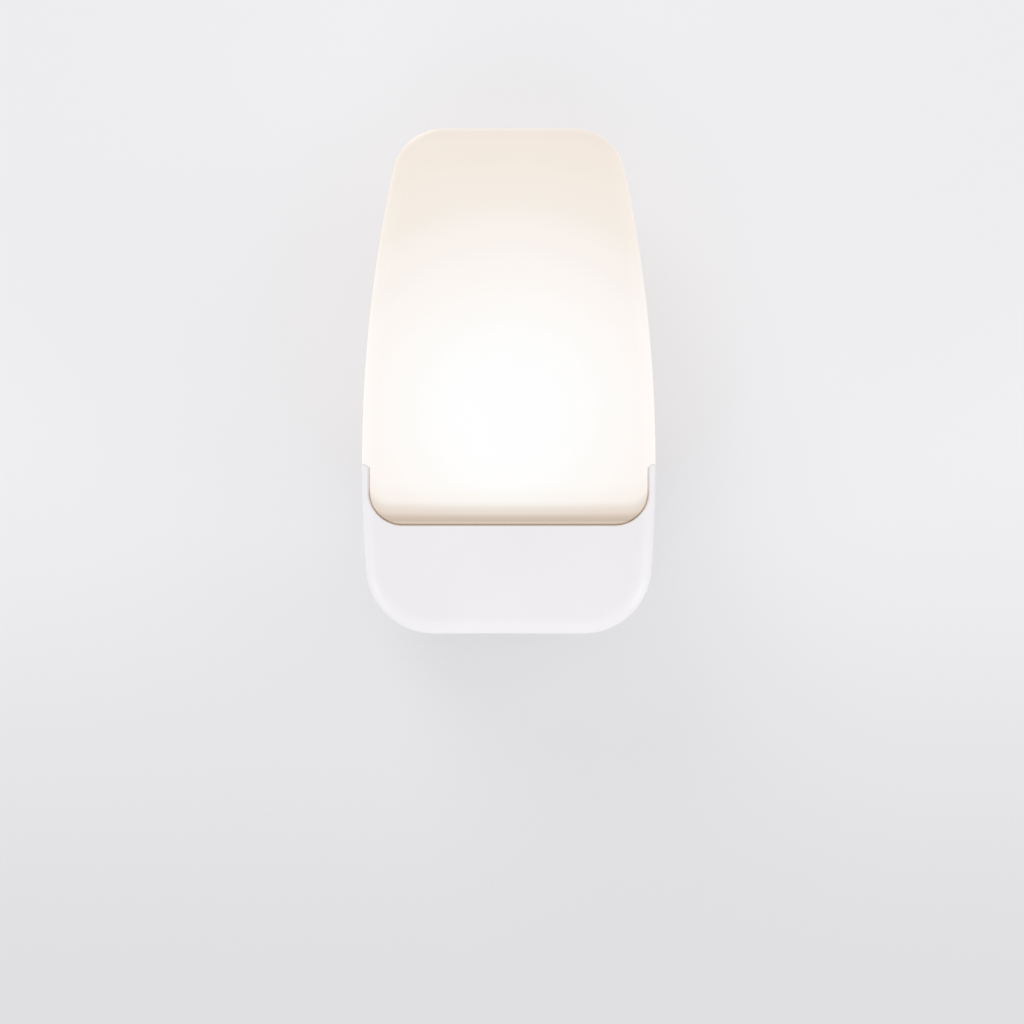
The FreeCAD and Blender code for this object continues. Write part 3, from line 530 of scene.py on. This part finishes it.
def switch_marks(material):
    """The bar and ring that say which way the switch is on, at the two ends of its slot."""
    raised_mark("mark_on", [bar(MARK_LINE, MARK_SIZE)], MARK_X, material)
    ring = [circle(MARK_SIZE / 2), circle(MARK_SIZE / 2 - MARK_LINE)]
    raised_mark("mark_off", ring, -MARK_X, material)


def stage_material(name, low, high):
    """Paint seen from its front only, so a view from behind looks straight through it.

    Its colour changes along its own Y, which is upwards on the wall, from low to high; on the wall this is
    painted shade, darker towards the bottom.
    """
    finish = Finish(name).set(Roughness=STAGE_ROUGHNESS, Specular_IOR_Level=STAGE_SPECULAR)
    along = finish.spread(finish.axis("Y"), span=SHADE_SPAN)
    finish.feed("Base Color", finish.ramp(along, [(0.0, shown(low)), (1.0, shown(high))]))
    clear = finish.nodes.new("ShaderNodeBsdfTransparent")
    side = finish.nodes.new("ShaderNodeNewGeometry")
    pick = finish.nodes.new("ShaderNodeMixShader")
    finish.links.new(side.outputs["Backfacing"], pick.inputs["Fac"])
    finish.links.new(finish.shader.outputs["BSDF"], pick.inputs[1])
    finish.links.new(clear.outputs["BSDF"], pick.inputs[2])
    finish.links.new(pick.outputs["Shader"], finish.nodes["Material Output"].inputs["Surface"])
    return finish.material


def stage_plane(name, location, tilt, material):
    """A square plane that doesn't block the lamps and sends no diffuse light to the object."""
    half = STAGE_SIZE / 2
    corners = [(-half, -half, 0), (half, -half, 0), (half, half, 0), (-half, half, 0)]
    mesh = bpy.data.meshes.new(name)
    mesh.from_pydata(corners, [], [(0, 1, 2, 3)])
    mesh.materials.append(material)
    plane = bpy.data.objects.new(name, mesh)
    plane.location = location
    plane.rotation_euler = (tilt, 0, 0)
    bpy.context.collection.objects.link(plane)
    plane.visible_shadow = False
    plane.visible_diffuse = False
    return plane


def build_stage():
    wall_paint = stage_material("wall", WALL_LOW_SHADED, WALL_HIGH)
    floor_paint = stage_material("floor", FLOOR_COLOUR, FLOOR_COLOUR)
    wall = stage_plane("wall", (0, WALL_Y, 0), math.radians(90), wall_paint)
    wall.visible_glossy = False
    stage_plane("floor", (0, 0, FLOOR_Z), 0, floor_paint)


def light_world():
    """Even light on the object, and a paler backdrop for the camera and for reflections."""
    world = bpy.data.worlds.new("room")
    bpy.context.scene.world = world
    world.use_nodes = True
    nodes = world.node_tree.nodes
    links = world.node_tree.links
    lit = nodes["Background"]
    lit.inputs["Color"].default_value = WORLD_LIGHT
    lit.inputs["Strength"].default_value = WORLD_STRENGTH
    seen = nodes.new("ShaderNodeBackground")
    seen.inputs["Color"].default_value = shown(BACKDROP)
    rays = nodes.new("ShaderNodeLightPath")
    either = nodes.new("ShaderNodeMath")
    either.operation = "MAXIMUM"
    links.new(rays.outputs["Is Camera Ray"], either.inputs[0])
    links.new(rays.outputs["Is Glossy Ray"], either.inputs[1])
    pick = nodes.new("ShaderNodeMixShader")
    links.new(either.outputs[0], pick.inputs["Fac"])
    links.new(lit.outputs["Background"], pick.inputs[1])
    links.new(seen.outputs["Background"], pick.inputs[2])
    links.new(pick.outputs["Shader"], nodes["World Output"].inputs["Surface"])


def add_lamp(name, location, size, watts):
    lamp = bpy.data.lights.new(name, "AREA")
    lamp.shape = "DISK"
    lamp.size = size
    lamp.energy = watts
    light = bpy.data.objects.new(name, lamp)
    light.location = location
    towards = Vector(LAMP_TARGET) - Vector(location)
    light.rotation_euler = towards.to_track_quat("-Z", "Y").to_euler()
    light.visible_camera = False
    bpy.context.collection.objects.link(light)


def add_camera():
    camera = bpy.data.cameras.new("camera")
    camera.sensor_width = SENSOR_MM
    camera.lens = SENSOR_MM * CAMERA_DISTANCE / FRAME_WIDTH
    camera.clip_start = CLIP_START
    seen_from = bpy.data.objects.new("camera", camera)
    seen_from.location = (CAMERA_X, -CAMERA_DISTANCE, CAMERA_Z)
    seen_from.rotation_euler = (math.radians(90), 0, 0)
    bpy.context.collection.objects.link(seen_from)
    bpy.context.scene.camera = seen_from


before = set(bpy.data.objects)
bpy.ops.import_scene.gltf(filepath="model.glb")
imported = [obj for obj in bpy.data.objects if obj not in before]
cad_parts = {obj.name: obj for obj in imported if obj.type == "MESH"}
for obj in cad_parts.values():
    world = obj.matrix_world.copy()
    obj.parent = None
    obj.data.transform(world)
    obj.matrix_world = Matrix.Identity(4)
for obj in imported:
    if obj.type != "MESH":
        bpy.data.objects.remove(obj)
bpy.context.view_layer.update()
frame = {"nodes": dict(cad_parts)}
bpy.context.scene.view_settings.view_transform = "Standard"
finishes = make_finishes()
dress(frame["nodes"], finishes)
switch_marks(finishes["housing_plastic"])
build_stage()
light_world()
for lamp_name, lamp in LAMPS.items():
    add_lamp(lamp_name, *lamp)
add_camera()
